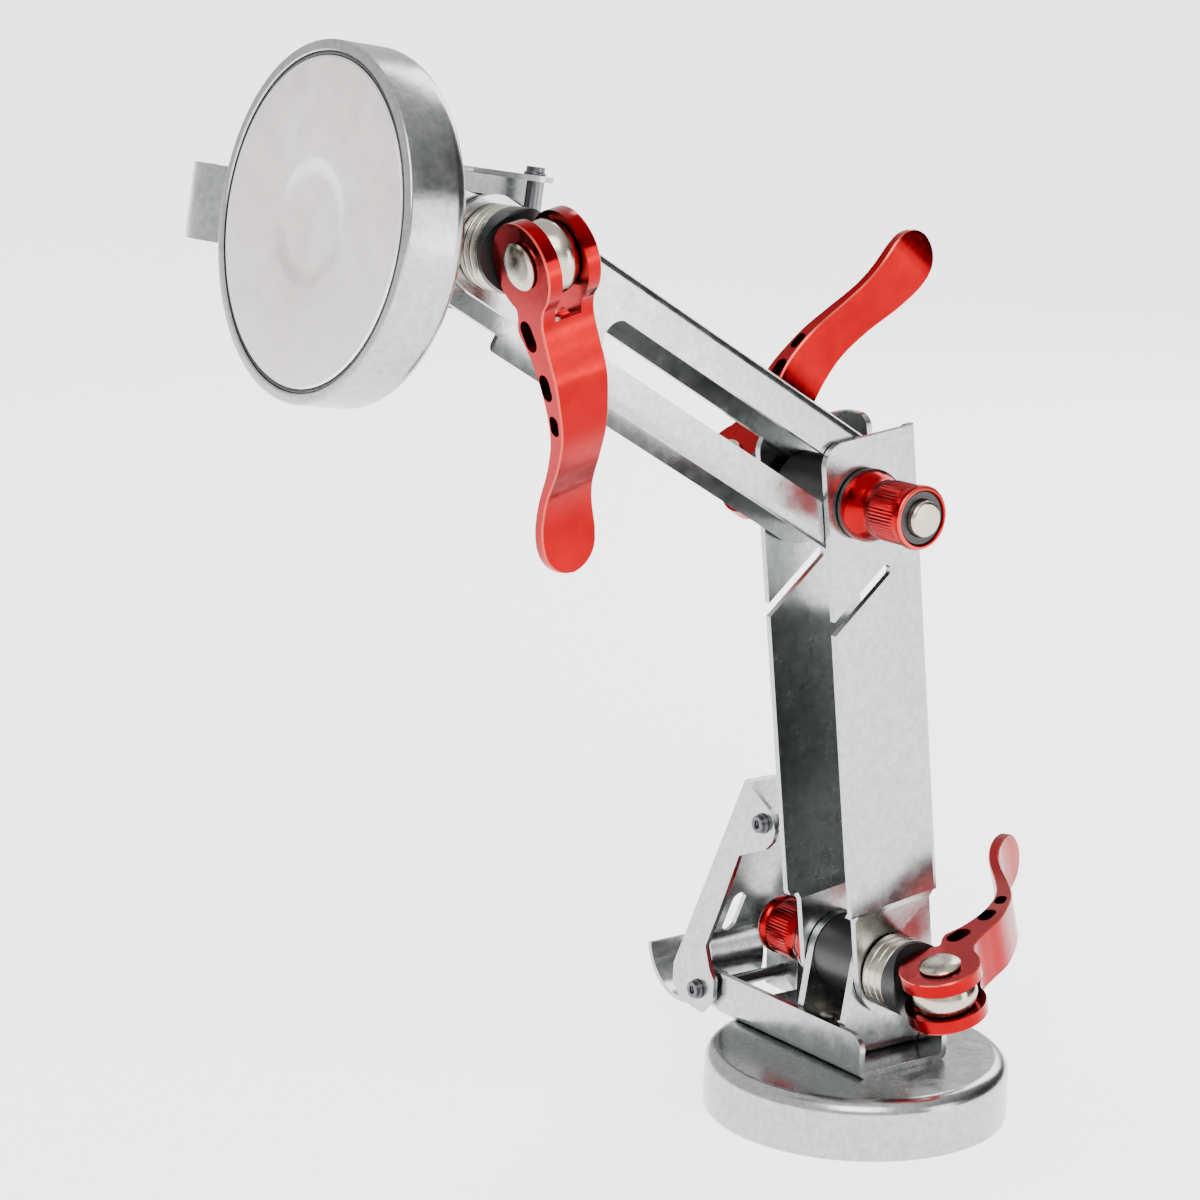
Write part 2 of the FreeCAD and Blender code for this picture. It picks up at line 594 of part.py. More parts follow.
def upper_arm(label, frame):
    """Slotted U channel that slides and turns on the elbow's rod."""
    step = "(upper_reach - upper_step)"
    width = "upper_half * 2"
    wall = box("ArmWall", ("upper_front + upper_back", width, step),
               ("-upper_front", "-upper_half", "0"))
    root = cylinder("ArmRoot", "upper_round", width, ("upper_round_shift", "-upper_half", "0"), "y")
    web_side = box("ArmWebSide", ("upper_back + upper_offset", width, "upper_reach - upper_web_gap"),
                   ("-upper_offset", "-upper_half", "0"))
    ear = box("EarWall", ("upper_ear * 2", width, "upper_step"),
              ("upper_offset - upper_ear", "-upper_half", step))
    ear_end = cylinder("EarRound", "upper_ear", width, ("upper_offset", "-upper_half", "upper_reach"),
                       "y")
    outer = fuse("ArmBlank", wall, root, web_side, ear, ear_end)
    along, back = Vector(0, 0, 1), value("upper_back")
    outer = rounded("ArmBends", outer, "arm_bend",
                    lambda edge, at: is_line(edge, along) and near(at.x, back))
    inner = "(upper_half - arm_sheet)"
    room = box("ArmRoom", ("upper_back * 4", inner + " * 2", "upper_reach * 2"),
               ("-upper_back * 3 - arm_sheet", "-" + inner, "-upper_reach / 2"))
    slot = box("ArmSlot", ("slot_half * 2", "upper_half * 4", "slot_far"),
               ("-slot_half", "-upper_half * 2", "0"))
    reach = "upper_half * 2"
    ends = [bored("slot_half", reach), bored("slot_half", reach, ("0", "0", "slot_far"))]
    bore = bored("rod_window", reach, ("upper_offset", "0", "upper_reach"))
    keep(label, cut("Arm", outer, room, slot, *ends, bore), frame)


# --------------------------------------------------------------------------- skewer parts
def skewer_rod(label, frame, face):
    """Rod with a flattened neck and a round eye for the cam pin."""
    tail = face + " + nut_washer_thick + nut_length + face_gap + rod_tail"
    rod = cylinder("Rod", "rod_radius", tail + " + " + face + " + cam_standoff",
                   ("0", "0", "-(" + face + ") - cam_standoff"))
    end = value(tail)
    rod = rounded("RodEnd", rod, "rod_chamfer",
                  lambda edge, at: edge.Closed and near(at.z, end))
    eye_z = "-(" + face + ") - cam_standoff"
    sides = [box("RodFlat", ("rod_radius * 2", "rod_radius * 4", "neck_start + rod_radius"),
                 (x, "-rod_radius * 2", eye_z + " - rod_radius"))
             for x in ("eye_half", "-eye_half - rod_radius * 2")]
    shank = cut("RodShank", rod, *sides)
    eye = cylinder("RodEye", "eye_radius", "eye_half * 2", ("-eye_half", "0", eye_z), "x")
    pin_hole = cylinder("RodPinHole", "pin_hole", "eye_half * 4", ("-eye_half * 2", "0", eye_z), "x")
    keep(label, cut("RodBody", fuse("RodBlank", shank, eye), pin_hole), frame)


def tube(name, radius, bore, start, length):
    """Ring about the rod, from start along local Z."""
    ring = cylinder(name, radius, length, ("0", "0", start))
    hole = cylinder(name + "Bore", bore, "(" + length + ") * 2",
                    ("0", "0", "(" + start + ") - (" + length + ") / 2"))
    return cut(name, ring, hole)


def spacer_tube(label, frame, half, radius):
    """Tube that keeps two ears apart while the rod pulls on them."""
    keep(label, tube("Spacer", radius, "rod_hole", "-(" + half + ")", "(" + half + ") * 2"), frame)


def steel_washers(label, frame, face):
    """Three plain washers under the cam cup."""
    rings = []
    for count in ("1", "2", "3"):
        start = "-(" + face + ") - washer_thick * " + count
        ring = tube("Washer", "washer_radius", "rod_hole", start, "washer_thick - fit_gap")
        rim = value("washer_radius")
        rings.append(rounded("WasherRim", ring, "washer_edge",
                             lambda edge, at: edge.Closed and near(math.hypot(at.x, at.y), rim)))
    stack = doc.addObject("Part::Compound", "Washers")
    stack.Links = rings
    keep(label, stack, frame)


def cam_cup(label, frame, face):
    """Plastic cup whose trough the lever's cam ends turn in; its rim is cut back at the blade."""
    start = "-(" + face + ") - washer_thick * 3 - cup_washer_rise"
    ring = tube("Cup", "cup_washer_radius", "rod_hole", start, "cup_washer_rise - fit_gap")
    trough_tool = cylinder("CupTrough", "cam_room", "cup_washer_radius * 4",
                           ("-cup_washer_radius * 2", "0", "-(" + face + ") - cam_standoff"), "x")
    notch_z = "-(" + face + ") - cam_standoff + cup_notch_low"
    notch = box("CupNotch", ("cup_washer_radius * 2", "cup_washer_radius", "cup_washer_rise"),
                ("-cup_washer_radius", "cup_notch", notch_z + " - cup_washer_rise"))
    keep(label, cut("CupBody", ring, trough_tool, notch), frame)


def cam_lever(label, frame):
    """Forked lever in the frame of its own pin: local X is the pin, local Y the blade."""
    blade = padded("Blade", "YZ_Plane", corners_of("blade"), "lever_width")
    ear = cylinder("LeverEar", "ear_radius", "lever_width",
                   ("-lever_width / 2", "ear_offset", "ear_offset"), "x")
    half = corners_of("plan")
    mirrored = [("-" + x, y) for x, y in reversed(half)]
    plan = padded("LeverPlan", "XY_Plane", half + mirrored, "lever_width * 4")
    blank = common("LeverBlank", fuse("LeverSide", blade, ear), plan)
    fork = box("LeverFork", ("fork_half * 2", "ear_radius * 2 + fork_depth", "lever_width * 4"),
               ("-fork_half", "-ear_radius * 2", "-lever_width * 2"))
    bore = cylinder("LeverBore", "pin_hole", "lever_width * 2", ("-lever_width", "0", "0"), "x")
    tools = [fork, bore]
    for index in range(len(LEVER_SLOTS)):
        tools.extend(lever_slot("slot%d_" % index))
    keep(label, cut("CamLever", blank, *tools), frame)


def lever_slot(prefix):
    """Tools of one oblong slot across the blade: a box and its two round ends."""
    slope = value(prefix + "slope")
    along = Vector(0, math.cos(math.radians(slope)), math.sin(math.radians(slope)))
    across = Vector(0, -along.z, along.y)
    middle = Vector(0, value(prefix + "along"), value(prefix + "height"))
    width = value("lever_width")
    half_run = value(prefix + "length - " + prefix + "width") / 2
    radius = value(prefix + "width") / 2
    run = doc.addObject("Part::Box", "LeverSlot")
    start = middle - along * half_run - across * radius - Vector(width, 0, 0)
    run.Placement = Placement(start, Rotation(Vector(1, 0, 0), slope))
    bind(run, Length="lever_width * 2", Width=prefix + "length - " + prefix + "width",
         Height=prefix + "width")
    tools = [run]
    for side in (-half_run, half_run):
        end = doc.addObject("Part::Cylinder", "LeverSlotEnd")
        end.Placement = Placement(middle + along * side - Vector(width, 0, 0),
                                  Rotation(Vector(0, 1, 0), 90))
        bind(end, Radius=prefix + "width / 2", Height="lever_width * 2")
        tools.append(end)
    return tools


def cam_pin(label, frame):
    """Headed pin through fork and eye, riveted over at its other end."""
    shank = cylinder("PinShank", "pin_radius", "lever_width", ("-lever_width / 2", "0", "0"), "x")
    head = cylinder("PinHead", "pin_head_radius", "pin_head_rise",
                    ("lever_width / 2 + fit_gap", "0", "0"), "x")
    neck = cylinder("PinNeck", "pin_radius", "pin_head_rise", ("lever_width / 2 - fit_gap", "0", "0"),
                    "x")
    tail = cylinder("PinTail", "pin_tail_radius", "pin_tail_rise",
                    ("-lever_width / 2 - pin_tail_rise - fit_gap", "0", "0"), "x")
    tail_neck = cylinder("PinTailNeck", "pin_radius", "pin_tail_rise",
                         ("-lever_width / 2 - pin_tail_rise", "0", "0"), "x")
    keep(label, fuse("Pin", shank, neck, head, tail, tail_neck), frame)


def knurled_nut(label, frame):
    """Hand nut with a wide flange, a waist and a straight grip."""
    keep(label, turned("NutTurning", corners_of("nut")), frame)


def nut_insert(label, frame):
    """Ring pressed into the nut's outer end."""
    ring = tube("Insert", "insert_radius", "rod_hole",
                "nut_length - insert_depth + fit_gap", "insert_depth - insert_set")
    keep(label, ring, frame)


def nut_washer(label, frame, face):
    ring = tube("NutWasher", "nut_washer_radius", "rod_hole", face, "nut_washer_thick")
    keep(label, ring, frame)


# --------------------------------------------------------------------------- the clamp
HEADS = {"lower": (lower_head_frame, 0.0), "upper": (upper_head_frame, 7.0)}
for end, (head, release_swing) in HEADS.items():
    magnet_cup(end + "_magnet_cup", head)
    magnet_disc(end + "_magnet_disc", head)
    resin_ring(end + "_resin_ring", head)
    base_channel(end + "_base_channel", head)
    clevis_bracket(end + "_clevis_bracket", head)
    clevis_screws(end + "_clevis_screws", head)
    hinge = Vector(0, value("release_pivot_y"), value("release_pivot_z"))
    swung = head.multiply(Placement(Vector(), Rotation(Vector(1, 0, 0), -release_swing), hinge))
    release_lever(end + "_release_lever", swung)
    for bolt, spot in RELEASE_BOLTS.items():
        release_bolt("%s_release_%s_bolt" % (end, bolt), swung, spot)
        release_nut("%s_release_%s_nut" % (end, bolt), swung, spot)

lower_arm("lower_arm", lower_arm_frame)
upper_arm("upper_arm", upper_arm_frame)

# place, side of the nut, direction of the lever, its swing outwards, pin's head side,
# half length and radius of the spacer, outer face of the arm
SKEWERS = {
    "lower": (ankle, 1, 15.1, -15.1, 1, "clevis_half - clevis_sheet - fit_gap", "spacer_radius",
              "upper_half"),
    "middle": (elbow, -1, 52.7, 7.9, -1, "upper_half - arm_sheet - face_gap",
               "elbow_spacer_radius", "lower_half"),
    "upper": (wrist, 1, -75.9, 7.3, -1, "clevis_half - clevis_sheet - fit_gap", "spacer_radius",
              "upper_half"),
}
for end, (place, nut_side, direction, swing, head_side, room, tube_radius, arm_face) in (
        SKEWERS.items()):
    skewer = skewer_frame(place, nut_side, direction)
    seat = arm_face + " + face_gap"
    skewer_rod(end + "_skewer_rod", skewer, seat)
    spacer_tube(end + "_spacer_tube", skewer, room, tube_radius)
    steel_washers(end + "_steel_washers", skewer, seat)
    cam_cup(end + "_cam_cup", skewer, seat)
    pin_place = Placement(Vector(0, 0, -value(seat + " + cam_standoff")), Rotation())
    swung = skewer.multiply(pin_place).multiply(
        Placement(Vector(), Rotation(Vector(1, 0, 0), -swing)))
    cam_lever(end + "_cam_lever", swung)
    facing = Placement(Vector(), Rotation(Vector(0, 0, 1), 0 if head_side > 0 else 180))
    cam_pin(end + "_cam_pin", swung.multiply(facing))
    nut_washer(end + "_nut_washer", skewer, seat)
    nut_place = Placement(Vector(0, 0, value(seat + " + nut_washer_thick + fit_gap")), Rotation())
    nut_frame = skewer.multiply(nut_place)
    knurled_nut(end + "_knurled_nut", nut_frame)
    nut_insert(end + "_nut_insert", nut_frame)

# --------------------------------------------------------------------------- check and export
doc.recompute()
faulty = [obj.Name for obj in doc.Objects if {"Invalid", "Error"} & set(obj.State)]
if faulty:
    raise RuntimeError("objects that did not recompute: " + ", ".join(faulty))
os.makedirs("parts", exist_ok=True)
for name, obj in nodes.items():
    if obj.Shape.isNull() or not obj.Shape.isValid() or not obj.Shape.Solids:
        raise RuntimeError("bad shape: " + name)
    obj.Shape.exportStep("parts/%s.step" % name)
print(len(nodes), "sub-parts written")
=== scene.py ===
"""Looks of the double-head magnetic support clamp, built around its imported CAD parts.

Metres, +Z up, origin at the centre of the lower magnet's face.
"""
import json
import math

import bmesh
import bpy
from mathutils import Matrix, Vector


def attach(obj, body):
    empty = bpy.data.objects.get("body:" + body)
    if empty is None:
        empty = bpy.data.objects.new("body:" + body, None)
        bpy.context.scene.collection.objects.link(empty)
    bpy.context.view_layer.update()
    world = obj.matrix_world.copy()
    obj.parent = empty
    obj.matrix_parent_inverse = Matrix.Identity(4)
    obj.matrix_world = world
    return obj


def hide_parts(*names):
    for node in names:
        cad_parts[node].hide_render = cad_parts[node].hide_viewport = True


MM = 0.001
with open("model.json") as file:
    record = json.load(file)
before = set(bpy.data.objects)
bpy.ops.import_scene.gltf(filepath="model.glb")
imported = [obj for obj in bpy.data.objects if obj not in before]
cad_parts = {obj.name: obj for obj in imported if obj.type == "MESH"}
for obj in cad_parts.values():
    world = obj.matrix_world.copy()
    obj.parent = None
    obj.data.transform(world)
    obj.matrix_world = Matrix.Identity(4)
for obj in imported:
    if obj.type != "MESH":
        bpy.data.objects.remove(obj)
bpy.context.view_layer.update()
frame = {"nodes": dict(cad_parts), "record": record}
nodes = frame["nodes"]
body_of = {node: body for body, members in frame["record"]["behaviour"]["bodies"].items()
           for node in members}

# --------------------------------------------------------------------------- frames of the links
LOWER_LEAN = math.radians(7.0)
UPPER_RISE = math.radians(30.8)
HEAD_TURN = math.radians(98.38)
PIVOT_HEIGHT = 36 * MM


def axes_matrix(x, y, z, origin):
    """4x4 matrix whose columns are three axes and an origin."""
    matrix = Matrix((x, y, z)).transposed().to_4x4()
    matrix.translation = origin
    return matrix


ankle = Vector((0, 0, PIVOT_HEIGHT))
lower_up = Vector((-math.sin(LOWER_LEAN), 0, math.cos(LOWER_LEAN)))
lower_web = Vector((math.cos(LOWER_LEAN), 0, math.sin(LOWER_LEAN)))
elbow = ankle + lower_up * 110 * MM - lower_web * 1.6 * MM
upper_along = Vector((-math.cos(UPPER_RISE), 0, math.sin(UPPER_RISE)))
upper_web = Vector((math.sin(UPPER_RISE), 0, math.cos(UPPER_RISE)))
wrist = elbow + upper_along * 113.2 * MM + upper_web * 1.6 * MM
head_turn = Matrix.Rotation(HEAD_TURN, 4, "Y")
upper_head = Matrix.Translation(wrist) @ head_turn @ Matrix.Translation(-ankle)
HEADS = {"lower": Matrix.Identity(4), "upper": upper_head}


def skewer_matrix(place, nut_side, degrees):
    """Local Z along the rod to its nut, local Y the way that the cam lever points."""
    angle = math.radians(degrees)
    lever = Vector((math.cos(angle), 0, math.sin(angle)))
    rod = Vector((0, nut_side, 0))
    return axes_matrix(lever.cross(rod), lever, rod, place)


# frame, swing of the lever outwards, outer face of the arm, side of the pin's head
SKEWERS = {
    "lower": (skewer_matrix(ankle, 1, 15.1), -15.1, 10.3, 1),
    "middle": (skewer_matrix(elbow, -1, 52.7), 7.9, 12.1, -1),
    "upper": (skewer_matrix(wrist, 1, -75.9), 7.3, 10.3, -1),
}
FACE_GAP = 0.3
CAM_STANDOFF = 18.3


# --------------------------------------------------------------------------- materials
def new_material(name, metallic, roughness):
    material = bpy.data.materials.new(name)
    material.use_nodes = True
    shader = material.node_tree.nodes["Principled BSDF"]
    shader.inputs["Metallic"].default_value = metallic
    shader.inputs["Roughness"].default_value = roughness
    return material, material.node_tree, shader


def noise(tree, scale, detail):
    """Noise texture in object coordinates."""
    place = tree.nodes.new("ShaderNodeTexCoord")
    texture = tree.nodes.new("ShaderNodeTexNoise")
    texture.inputs["Scale"].default_value = scale
    texture.inputs["Detail"].default_value = detail
    tree.links.new(place.outputs["Object"], texture.inputs["Vector"])
    return texture


def ramp(tree, source, stops):
    """Colour ramp; stops are (position, colour or grey value)."""
    node = tree.nodes.new("ShaderNodeValToRGB")
    elements = node.color_ramp.elements
    while len(elements) < len(stops):
        elements.new(0.5)
    for element, (position, color) in zip(elements, stops):
        element.position = position
        element.color = (*color, 1) if isinstance(color, tuple) else (color, color, color, 1)
    tree.links.new(source, node.inputs["Fac"])
    return node


def bump(tree, shader, source, strength, distance):
    """Fine relief from a texture."""
    node = tree.nodes.new("ShaderNodeBump")
    node.inputs["Strength"].default_value = strength
    node.inputs["Distance"].default_value = distance
    tree.links.new(source, node.inputs["Height"])
    tree.links.new(node.outputs["Normal"], shader.inputs["Normal"])


def zinc():
    """Bright zinc plate: neutral grey, nearly even, with a fine sparkle in the plating."""
    material, tree, shader = new_material("zinc", 1.0, 0.24)
    mottle = noise(tree, 700, 5)
    tint = ramp(tree, mottle.outputs["Fac"], [(0.34, (0.33, 0.34, 0.34)), (0.66, (0.41, 0.42, 0.42))])
    tree.links.new(tint.outputs["Color"], shader.inputs["Base Color"])
    wear = noise(tree, 220, 6)
    dull = ramp(tree, wear.outputs["Fac"], [(0.35, 0.19), (0.7, 0.29)])
    tree.links.new(dull.outputs["Color"], shader.inputs["Roughness"])
    grain = noise(tree, 1100, 4)
    bump(tree, shader, grain.outputs["Fac"], 0.12, 0.0001)
    return material


def nickel():
    material, tree, shader = new_material("nickel", 1.0, 0.22)
    shader.inputs["Base Color"].default_value = (0.44, 0.40, 0.33, 1)
    smear = noise(tree, 300, 5)
    dull = ramp(tree, smear.outputs["Fac"], [(0.35, 0.14), (0.7, 0.34)])
    tree.links.new(dull.outputs["Color"], shader.inputs["Roughness"])
    return material


def bolt_steel():
    """Darker steel of the release levers' bolts and nuts."""
    material, _, shader = new_material("bolt_steel", 1.0, 0.3)
    shader.inputs["Base Color"].default_value = (0.10, 0.10, 0.11, 1)
    return material


def red_anodised():
    material, tree, shader = new_material("red_anodised", 1.0, 0.22)
    depth = noise(tree, 120, 3)
    tint = ramp(tree, depth.outputs["Fac"], [(0.3, (0.24, 0.0, 0.003)), (0.7, (0.31, 0.0, 0.004))])
    tree.links.new(tint.outputs["Color"], shader.inputs["Base Color"])
    smear = noise(tree, 500, 5)
    dull = ramp(tree, smear.outputs["Fac"], [(0.35, 0.15), (0.7, 0.27)])
    tree.links.new(dull.outputs["Color"], shader.inputs["Roughness"])
    return material


def red_edge_highlight():
    """Painted highlight on the cut edges of the anodised parts: a red a little paler than their faces,
    standing in for the light that the edges catch.
    """
    material, _, shader = new_material("red_edge_highlight", 0.75, 0.3)
    shader.inputs["Base Color"].default_value = (0.50, 0.05, 0.035, 1)
    return material


def black_plastic():
    material, tree, shader = new_material("black_plastic", 0.0, 0.42)
    shader.inputs["Base Color"].default_value = (0.007, 0.007, 0.008, 1)
    grain = noise(tree, 1500, 3)
    bump(tree, shader, grain.outputs["Fac"], 0.15, 0.0002)
    return material


def resin():
    material, tree, shader = new_material("resin", 0.0, 0.38)
    shader.inputs["Base Color"].default_value = (0.02, 0.018, 0.018, 1)
    pour = noise(tree, 260, 5)
    bump(tree, shader, pour.outputs["Fac"], 0.6, 0.0006)
    return material


def pole_plate():
    """Turned and satin plated face of the magnet, with a few stains."""
    material, tree, shader = new_material("pole_plate", 1.0, 0.34)
    cloud = noise(tree, 45, 6)
    tint = ramp(tree, cloud.outputs["Fac"], [(0.3, (0.77, 0.735, 0.71)), (0.68, (0.83, 0.80, 0.775))])
    tree.links.new(tint.outputs["Color"], shader.inputs["Base Color"])
    smear = noise(tree, 150, 6)
    dull = ramp(tree, smear.outputs["Fac"], [(0.3, 0.28), (0.7, 0.45)])
    tree.links.new(dull.outputs["Color"], shader.inputs["Roughness"])
    grain = noise(tree, 1400, 4)
    bump(tree, shader, grain.outputs["Fac"], 0.12, 0.0002)
    return material


ZINC, NICKEL, RED, RED_EDGE_HIGHLIGHT = zinc(), nickel(), red_anodised(), red_edge_highlight()
BOLT = bolt_steel()
BLACK, RESIN, POLE = black_plastic(), resin(), pole_plate()
SLOT_MATERIALS = {"zinc_steel": ZINC, "nickel": NICKEL, "red_anodised": RED,
                  "black_plastic": BLACK, "black_resin": RESIN, "pole_plate": POLE}
slot_of = {part["node"]: part["material_slot"] for part in frame["record"]["subparts"]}


# --------------------------------------------------------------------------- mesh helpers
def finish_piece(obj, node, matrix=None):
    """Put a piece in its link's frame and let it stand for one CAD node."""
    bpy.context.scene.collection.objects.link(obj)
    if matrix is not None:
        obj.matrix_world = matrix
    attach(obj, body_of[node])
    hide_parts(node)
    return obj


def shade(mesh, degrees=32):
    mesh.shade_smooth()
    mesh.set_sharp_from_angle(angle=math.radians(degrees))


def soften(obj, width, degrees=38):
    """Small rounded edge on every sharp corner."""
    edge = obj.modifiers.new("edge", "BEVEL")
    edge.width = width
    edge.segments = 2
    edge.limit_method = "ANGLE"
    edge.angle_limit = math.radians(degrees)
    edge.miter_outer = "MITER_ARC"
    edge.harden_normals = True


def edged_copy(node, matrix=None, width=0.22 * MM, material=None):
    """Same shape as a CAD node, its flat faces merged and its sharp edges eased."""
    mesh = nodes[node].data.copy()
    mesh.name = node + "_look"
    mesh.materials.clear()
    mesh.materials.append(material or SLOT_MATERIALS[slot_of[node]])
    build = bmesh.new()
    build.from_mesh(mesh)
    bmesh.ops.remove_doubles(build, verts=build.verts, dist=1e-6)
    bmesh.ops.dissolve_limit(build, angle_limit=math.radians(0.6), verts=build.verts,
                             edges=build.edges)
    if matrix is not None:
        build.transform(matrix.inverted())
    build.to_mesh(mesh)
    build.free()
    for polygon in mesh.polygons:
        polygon.material_index = 0
    shade(mesh)
    obj = bpy.data.objects.new(node + "_look", mesh)
    soften(obj, width)
    return finish_piece(obj, node, matrix)


def turned_mesh(name, profile, segments=128, wave=None):
    """Closed lathe mesh about Z; wave(index, angle) changes the radius of a ring."""
    build = bmesh.new()
    rings = []
    for index, (radius, height) in enumerate(profile):
        ring = []
        for step in range(segments):
            angle = 2 * math.pi * step / segments
            reach = radius + (wave(index, angle) if wave else 0)
            ring.append(build.verts.new((reach * math.cos(angle), reach * math.sin(angle), height)))
        rings.append(ring)
    count = len(rings)
    for index in range(count):
        here, there = rings[index], rings[(index + 1) % count]
        for step in range(segments):
            after = (step + 1) % segments
            build.faces.new((here[step], here[after], there[after], there[step]))
    bmesh.ops.recalc_face_normals(build, faces=build.faces)
    mesh = bpy.data.meshes.new(name)
    build.to_mesh(mesh)
    build.free()
    return mesh


def arc(centre, radius, start, end, steps):
    """Points of an arc in the profile plane, angles in degrees."""
    points = []
    for step in range(steps + 1):
        angle = math.radians(start + (end - start) * step / steps)
        points.append((centre[0] + radius * math.cos(angle), centre[1] + radius * math.sin(angle)))
    return points


def scaled(profile):
    return [(x * MM, y * MM) for x, y in profile]


# --------------------------------------------------------------------------- magnets
def magnet_cup(end, matrix):
    """Pressed steel cup with a full round crown."""
    crown = arc((31.6, 10.4), 3.4, 0, 90, 14)
    lip = arc((34.4, 0.6), 0.6, -90, 0, 5)
    profile = [(2.0, 10.4), (32.8, 10.4), (32.8, 0.25), (33.05, 0.0)] + lip + crown + [(2.0, 13.8)]
    mesh = turned_mesh(end + "_cup", scaled(profile), 256)
    mesh.materials.append(ZINC)
    shade(mesh)
    finish_piece(bpy.data.objects.new(end + "_magnet_cup_look", mesh), end + "_magnet_cup", matrix)


def magnet_disc(end, matrix):
    """Pole plate with a shallow dished middle."""
    dish = [(0.02, 0.45), (8.5, 0.45), (9.6, 0.41), (10.6, 0.29), (11.5, 0.14), (12.2, 0.04),
            (12.8, 0.0)]
    profile = dish + [(31.55, 0.0), (31.9, 0.3), (31.9, 8.0), (0.02, 8.0)]
    mesh = turned_mesh(end + "_disc", scaled(profile), 256)
    mesh.materials.append(POLE)
    shade(mesh, 20)
    finish_piece(bpy.data.objects.new(end + "_magnet_disc_look", mesh), end + "_magnet_disc", matrix)


def resin_ring(end, matrix):
    """Poured seal whose surface is uneven."""
    profile = [(31.93, 0.7), (32.15, 0.45), (32.4, 0.38), (32.6, 0.45), (32.77, 0.6), (32.77, 8.0),
               (31.93, 8.0)]

    def uneven(index, angle):
        if index in (0, 4, 5, 6):
            return 0
        return 0.05 * MM * math.sin(7 * angle) * math.cos(11 * angle + 1)

    mesh = turned_mesh(end + "_ring", scaled(profile), 256, uneven)
    mesh.materials.append(RESIN)
    shade(mesh, 50)
    finish_piece(bpy.data.objects.new(end + "_resin_ring_look", mesh), end + "_resin_ring", matrix)


# --------------------------------------------------------------------------- nuts
NUT_FLANK = [(7.7, 0.0), (8.0, 0.3), (8.05, 1.0), (7.95, 1.9), (7.6, 2.9), (7.1, 3.8), (6.6, 4.6),
             (6.2, 5.2), (6.1, 5.9), (6.2, 6.6)]
NUT_GRIP_START, NUT_GRIP_END = 7.2, 15.3
KNURL_COUNT = 54


def knurled_nut(end, matrix):
    """Hand nut: domed flange, waist, fine straight knurl and a smooth rim."""
    grip = [(6.45, NUT_GRIP_START), (6.62, 7.6), (6.66, 8.4), (6.66, 10.0), (6.66, 12.0),
            (6.66, 14.0), (6.62, 14.9), (6.5, NUT_GRIP_END)]
    rim = [(6.75, 15.6), (6.98, 15.9), (7.02, 16.4), (7.02, 17.2), (6.85, 17.55), (6.45, 17.85),
           (6.2, 17.9), (6.05, 17.87), (5.9, 17.75), (5.83, 17.6), (5.83, 13.9), (4.06, 13.9),
           (4.06, 0.0)]
    first, last = len(NUT_FLANK) + 1, len(NUT_FLANK) + len(grip) - 1

    def knurl(index, angle):
        if not first <= index < last:
            return 0
        return 0.16 * MM * (abs(((angle * KNURL_COUNT / (2 * math.pi)) % 1) * 2 - 1) - 0.8)

    mesh = turned_mesh(end + "_nut", scaled(NUT_FLANK + grip + rim), KNURL_COUNT * 6, knurl)
    mesh.materials.append(RED)
    mesh.materials.append(RED_EDGE_HIGHLIGHT)
    # The flange's outer edge and the rim's top edge get the paler red, a painted highlight.
    for polygon in mesh.polygons:
        height = polygon.center.z / MM
        reach = math.hypot(polygon.center.x, polygon.center.y) / MM
        if (height < 0.3 and reach > 7.6) or (height > 17.5 and reach > 6.2):
            polygon.material_index = 1
    shade(mesh, 28)
    finish_piece(bpy.data.objects.new(end + "_knurled_nut_look", mesh), end + "_knurled_nut", matrix)


# --------------------------------------------------------------------------- cam levers
BLADE_OUT = [(-9, -8.5), (0, -8.3), (2, -7.9), (5, -6.4), (8, -4.0), (12, -1.6), (18, -1.0),
             (24, -0.8), (30, 0.9), (36, 3.6), (42, 8.4), (48, 14.2), (53, 17.3), (58, 18.9),
             (63, 19.9), (66, 20.5)]
BLADE_IN = [(-9, 5.0), (0, 5.0), (8, 6.0), (9.8, 6.3), (13, 7.6), (15.2, 6.9), (18, 5.9), (24, 5.1),
            (30, 5.8), (36, 8.0), (42, 12.3), (48, 17.3), (53, 20.2), (58, 21.7), (63, 21.9),
            (66, 21.7)]
BLADE_HALF = [(-9, 6.3), (20, 6.3), (26, 6.2), (35, 5.6), (43, 5.4), (50, 6.0), (56, 6.6), (66, 6.6)]
EAR_CENTRE, EAR_RADIUS = 0.8, 9.2
LEVER_TIP = 65.2
TIP_RADIUS = 6.5
LEVER_CHAMFER = 0.35
LEVER_SLOTS = [(14.0, 4.1, 6.4, 3.8, -10.0), (24.4, 3.0, 5.5, 3.3, 4.0), (32.3, 4.3, 4.4, 2.6, 20.0)]
FORK_HALF, FORK_DEPTH = 3.1, 12.0


def curve_at(points, x):
    """Smooth curve through the points, by cubic Hermite steps."""
    for index in range(len(points) - 1):
        if x <= points[index + 1][0]:
            break
    before = points[max(index - 1, 0)]
    (x0, y0), (x1, y1) = points[index], points[index + 1]
    after = points[min(index + 2, len(points) - 1)]
    span = x1 - x0
    slope0 = (y1 - before[1]) / (x1 - before[0]) if index else (y1 - y0) / span
    slope1 = (after[1] - y0) / (after[0] - x0)
    u = (x - x0) / span
    return ((2 * u ** 3 - 3 * u ** 2 + 1) * y0 + (u ** 3 - 2 * u ** 2 + u) * span * slope0
            + (3 * u ** 2 - 2 * u ** 3) * y1 + (u ** 3 - u ** 2) * span * slope1)


